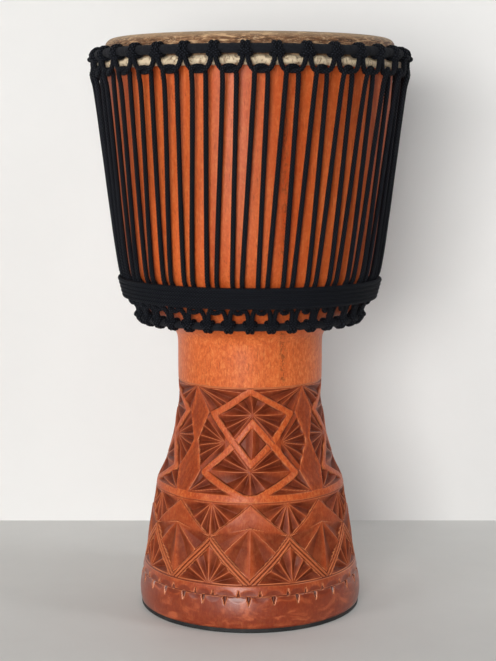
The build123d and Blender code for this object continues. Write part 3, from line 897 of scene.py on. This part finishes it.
def frames(P):
    """Directions and a sideways axis that turns as little as possible."""
    T = np.gradient(P, axis=0)
    T /= np.linalg.norm(T, axis=1)[:, None]
    ref = np.array([0, 0, 1.0]) if abs(T[0, 2]) < 0.9 else np.array([1.0, 0, 0])
    u = np.cross(T[0], ref)
    u /= np.linalg.norm(u)
    U = np.empty_like(P)
    U[0] = u
    for i in range(len(P) - 1):
        v1 = P[i + 1] - P[i]
        c1 = v1 @ v1
        uL = U[i] - (2 / c1) * (v1 @ U[i]) * v1
        tL = T[i] - (2 / c1) * (v1 @ T[i]) * v1
        v2 = T[i + 1] - tL
        c2 = v2 @ v2
        U[i + 1] = uL - (2 / c2) * (v2 @ uL) * v2 if c2 > 1e-12 else uL
    return T, U


def rope(name, pts, nodes, r=ROPE_R, relief=0.23):
    """A braided rope: each point of the sweep is a crown of the braid or the dip beside it."""
    P = resample(smooth_line(pts), BRAID_STEP)
    T, U = frames(P)
    V = np.cross(T, U)
    n, m = len(P), BRAID_N
    s = np.arange(n) * BRAID_STEP
    jj, ii = np.arange(m), np.arange(n)
    crown = ((ii[:, None] + jj[None]) % 2) * 2.0 - 1.0
    rad = r + 0.10 + relief * crown + (0.05 * np.sin(s / 23.0) + 0.04 * np.sin(s / 7.7 + 1))[:, None]
    ends = np.minimum(s, s[-1] - s)[:, None]
    rad = rad * np.sqrt(clamp(0.35 + ends / (1.6 * r)))       # heat-sealed ends
    ang = 2 * math.pi * jj / m
    X = P[:, None] + rad[..., None] * (np.cos(ang)[None, :, None] * U[:, None] + np.sin(ang)[None, :, None] * V[:, None])
    verts = np.vstack([X.reshape(-1, 3), P[0] - T[0] * 0.25, P[-1] + T[-1] * 0.25])
    f = ring_faces(n, m)
    c = np.arange(m)
    cap0 = np.stack([np.full(m, n * m), (c + 1) % m, c], -1)
    cap1 = np.stack([np.full(m, n * m + 1), (n - 1) * m + c, (n - 1) * m + (c + 1) % m], -1)
    rr, cc = np.meshgrid(np.arange(n - 1), c, indexing="ij")
    sm = s * MM                                                # u once round, v the length in metres
    uv = np.stack([
        np.stack([cc / m, sm[rr]], -1), np.stack([(cc + 1) / m, sm[rr]], -1),
        np.stack([(cc + 1) / m, sm[rr + 1]], -1), np.stack([cc / m, sm[rr + 1]], -1)], 2).reshape(-1, 2)
    uvc0 = np.stack([np.stack([c / m, 0 * c], -1)] * 3, 1).reshape(-1, 2)
    uvc1 = np.stack([np.stack([c / m, 0 * c + sm[-1]], -1)] * 3, 1).reshape(-1, 2)
    ob = build(name, verts * MM, [f, cap0, cap1], ROPE, uv=np.vstack([uv, uvc0, uvc1]))
    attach(ob, "root"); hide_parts(*nodes)
    print(f"{name}: {s[-1] / 1000:.2f} m, {n * m} points")
    return ob


# =====================================================================
# Cloth wound on the rings
# =====================================================================
def wound_ring(name, node, R, z, a, wraps, seed):
    n, m = ((1440, 28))
    th = np.arange(n) * 2 * math.pi / n
    ph = np.arange(m) * 2 * math.pi / m
    TH, PH = np.meshgrid(th, ph, indexing="ij")
    # each turn of the strip laps the one before
    lap = (TH * wraps / (2 * math.pi) + PH / (2 * math.pi)) % 1.0
    rad = a - 0.40 + 0.42 * (1 - lap) - 0.26 * np.exp(-(lap / 0.07) ** 2)
    rad = rad + 0.05 * waves(TH, PH * 20, seed, 9, 20, 160, 20.0)
    RR = R + rad * np.cos(PH)
    V = np.stack([RR * np.sin(TH), -RR * np.cos(TH), z + rad * np.sin(PH)], -1).reshape(-1, 3)
    i, j = np.meshgrid(np.arange(n), np.arange(m), indexing="ij")
    i2, j2 = (i + 1) % n, (j + 1) % m
    f = np.stack([i * m + j, i2 * m + j, i2 * m + j2, i * m + j2], -1).reshape(-1, 4)
    L = 2 * math.pi * R * MM
    uv = np.stack([np.stack([j / m, i / n * L], -1), np.stack([j / m, (i + 1) / n * L], -1),
                   np.stack([(j + 1) / m, (i + 1) / n * L], -1), np.stack([(j + 1) / m, i / n * L], -1)], 2).reshape(-1, 2)
    ob = build(name, V * MM, [f], CLOTH, uv=uv)
    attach(ob, "root"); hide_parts(node)
    return ob


# =====================================================================
# Goatskin head
# =====================================================================
def make_head():
    n = 2040          # whole number of columns to each hitch
    top, rr = RIM_TOP - RIM_ROUND, RIM_ROUND + SKIN_T
    cx = RIM_R - RIM_ROUND
    outer = [(0.0, HEIGHT)] + [(x, HEIGHT) for x in (12, 30, 50, 70, 90, 105, 118, 128, 136, 141)]
    outer += [(cx + rr * math.sin(a), top + rr * math.cos(a)) for a in np.linspace(0.12, math.pi / 2, 12)]
    outer += [(151.5, z) for z in (594.6, 592.6, 590.6, 588.6, 586.6, 584.6, 583.0)]
    roll = [(ROLL_R + ROLL_A * math.cos(a), ROLL_Z + ROLL_A * math.sin(a)) for a in np.radians(np.linspace(142, -186, 34))]
    inner = [(150.42, 578.5), (150.42, 588), (150.42, top)]
    inner += [(cx + (RIM_ROUND + 0.1) * math.sin(a), top + (RIM_ROUND + 0.1) * math.cos(a)) for a in np.linspace(math.pi / 2 - 0.2, 0.0, 8)]
    inner += [(x, RIM_TOP + 0.1) for x in (136, 120, 90, 50, 20)] + [(0.0, RIM_TOP + 0.1)]
    prof = np.array(outer + roll + inner)
    i0, i1 = len(outer), len(outer) + len(roll)
    s = np.concatenate([[0], np.cumsum(np.linalg.norm(np.diff(prof, axis=0), axis=1))])
    body = prof[1:-1]
    sb = s[1:-1]
    rows = len(body)
    th = np.arange(n) * 2 * math.pi / n
    Rg, TH = np.meshgrid(body[:, 0], th, indexing="ij")
    Zg = np.repeat(body[:, 1][:, None], n, 1)
    Sg = np.repeat(sb[:, None], n, 1)
    idx = np.arange(rows) + 1
    on_roll = ((idx >= i0) & (idx < i1)).astype(float)[:, None] * np.ones((1, n))
    on_in = (idx >= i1).astype(float)[:, None] * np.ones((1, n))
    on_side = smooth(Rg, 142.8, 146.0) * (1 - on_in) * (1 - on_roll)
    # pleats where the skin is gathered below the bearing edge, deeper near the roll
    pleat = waves(TH, Zg, 31, 18, 12, 90, 1.7)
    gather = clamp((603.5 - Zg) / 6.0) * on_side
    Rg = Rg + 0.28 * pleat * gather
    # the playing face is a little uneven and dips in the middle
    face = (1 - on_in) * (Rg < 143.0)
    Zg = Zg + face * (-0.25 * (1 - (Rg / 145.0) ** 2) - 0.05 + 0.05 * waves(TH, Rg, 33, 7, 1, 7, 40.0))
    # the roll: skin folded back over the hoop, lumpy, with lengthwise folds
    lump = 0.34 * waves(TH, Zg * 3, 35, 14, 18, 130, 22.0) + 0.12 * waves(TH, Zg, 36, 12, 120, 320, 9.0)
    PH = np.arctan2(Zg - ROLL_Z, Rg - ROLL_R)
    flap = -0.55 * np.exp(-((PH - 0.35 - 0.25 * waves(TH, Zg * 0, 38, 9, 5, 60)) / 0.10) ** 2)
    grow = (lump - 0.35 + flap) * on_roll
    Rg = Rg + grow * np.cos(PH)
    Zg = Zg + grow * np.sin(PH)
    # the hitches press into its top
    half = 9.9 / RING_R
    ang = (TH - math.radians(CROWN_PHASE) + math.radians(PITCH) / 2) % math.radians(PITCH) - math.radians(PITCH) / 2
    near = 1 - smooth(np.abs(ang), half * 0.86, half * 1.12)
    dr, dz = Rg - RING_R, Zg - RING_Z
    dist = np.hypot(dr, dz)
    press = clamp(9.0 - dist, 0, 6) * near * on_roll
    Zg = Zg + press * np.minimum(dz / np.maximum(dist, 1e-3), -0.55)
    X, Y = Rg * np.sin(TH), -Rg * np.cos(TH)
    verts = np.vstack([np.stack([X, Y, Zg], -1).reshape(-1, 3), (0, 0, HEIGHT - 0.3), (0, 0, RIM_TOP + 0.1)])
    i, j = np.meshgrid(np.arange(rows - 1), np.arange(n), indexing="ij")
    j2 = (j + 1) % n
    f = np.stack([i * n + j, (i + 1) * n + j, (i + 1) * n + j2, i * n + j2], -1).reshape(-1, 4)
    c = np.arange(n)
    cap0 = np.stack([np.full(n, rows * n), c, (c + 1) % n], -1)
    cap1 = np.stack([np.full(n, rows * n + 1), (rows - 1) * n + (c + 1) % n, (rows - 1) * n + c], -1)
    sm = Sg[:, 0] * MM
    uv = np.stack([np.stack([j / n, sm[i]], -1), np.stack([j / n, sm[i + 1]], -1),
                   np.stack([(j + 1) / n, sm[i + 1]], -1), np.stack([(j + 1) / n, sm[i]], -1)], 2).reshape(-1, 2)
    u0 = np.stack([np.stack([c / n, 0 * c], -1), np.stack([c / n, 0 * c + sm[0]], -1), np.stack([(c + 1) / n, 0 * c + sm[0]], -1)], 1).reshape(-1, 2)
    u1 = np.stack([np.stack([c / n, 0 * c + s[-1] * MM], -1), np.stack([(c + 1) / n, 0 * c + sm[-1]], -1), np.stack([c / n, 0 * c + sm[-1]], -1)], 1).reshape(-1, 2)
    ob = build("goatskin_head", verts * MM, [f, cap0, cap1], SKIN, uv=np.vstack([uv, u0, u1]),
               attrs={"roll": np.concatenate([on_roll.reshape(-1), [0, 0]]), "side": np.concatenate([on_side.reshape(-1), [0, 0]])})
    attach(ob, "root"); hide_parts("drum_head")
    return ob


# =====================================================================
# Build it
# =====================================================================
make_shell()
make_head()
wound_ring("crown_ring_cloth", "crown_ring_wrap", RING_R, RING_Z, RING_A + 0.6, 120, 41)
wound_ring("bottom_ring_cloth", "bottom_ring_wrap", LOW_R, LOW_Z, LOW_A + 0.6, 90, 43)
rope("crown_loops_rope", ring_route(crown_hitch, CROWN_PHASE), ["crown_loops"])
rope("bottom_loops_rope", ring_route(low_hitch, LOW_PHASE), ["bottom_loops"])
rope("vertical_tension_rope", vertical_route(), ["vertical_rope"])
rope("wound_rope_band", band_route(), ["rope_band"])
for node in ("flesh_hoop", "crown_ring", "bottom_ring"):
    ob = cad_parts[node]
    ob.data.materials.clear(); ob.data.materials.append(STEEL)
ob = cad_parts["foot_rubber"]
ob.data.materials.clear(); ob.data.materials.append(RUBBER)


# ---------------------------------------------------------------- stage
def stage_material(name, colour, var, rough, speck=0.0):
    m = Mat(name)
    p = m.coord()
    big, small = m.noise(p, 1.6, 3, 0.55), m.noise(p, 26.0, 4, 0.6)
    f = m.math("ADD", m.math("MULTIPLY", big, 0.7), m.math("MULTIPLY", small, 0.3))
    col = m.mix(m.span(f, 0.35, 0.65), tuple(c * (1 - var) for c in colour), tuple(min(1, c * (1 + var)) for c in colour))
    return m.set(colour=col, rough=rough, spec=0.3, normal=m.bump(small, 0.1, 0.001))


def plane(name, corners, mat):
    me = bpy.data.meshes.new(name)
    me.from_pydata(corners, [], [(0, 1, 2, 3)])
    me.materials.append(mat)
    ob = bpy.data.objects.new(name, me)
    bpy.context.scene.collection.objects.link(ob)
    return ob


plane("floor", [(-4, -4, 0), (4, -4, 0), (4, 4, 0), (-4, 4, 0)],
      stage_material("pale_floor", (0.67, 0.67, 0.65), 0.03, 0.6))
WALL = stage_material("pale_wall", (0.82, 0.82, 0.81), 0.01, 0.9)
plane("wall", [(-4, WALL_Y, 0), (4, WALL_Y, 0), (4, WALL_Y, 4), (-4, WALL_Y, 4)], WALL)
_t = WALL.node_tree                                            # only its front face is there, so views from behind see the drum
_out = next(n for n in _t.nodes if n.type == "OUTPUT_MATERIAL")
_mix, _clear, _geo = (_t.nodes.new("ShaderNode" + n) for n in ("MixShader", "BsdfTransparent", "NewGeometry"))
_t.links.new(_geo.outputs["Backfacing"], _mix.inputs[0])
_t.links.new(_out.inputs["Surface"].links[0].from_socket, _mix.inputs[1])
_t.links.new(_clear.outputs[0], _mix.inputs[2])
_t.links.new(_mix.outputs[0], _out.inputs["Surface"])
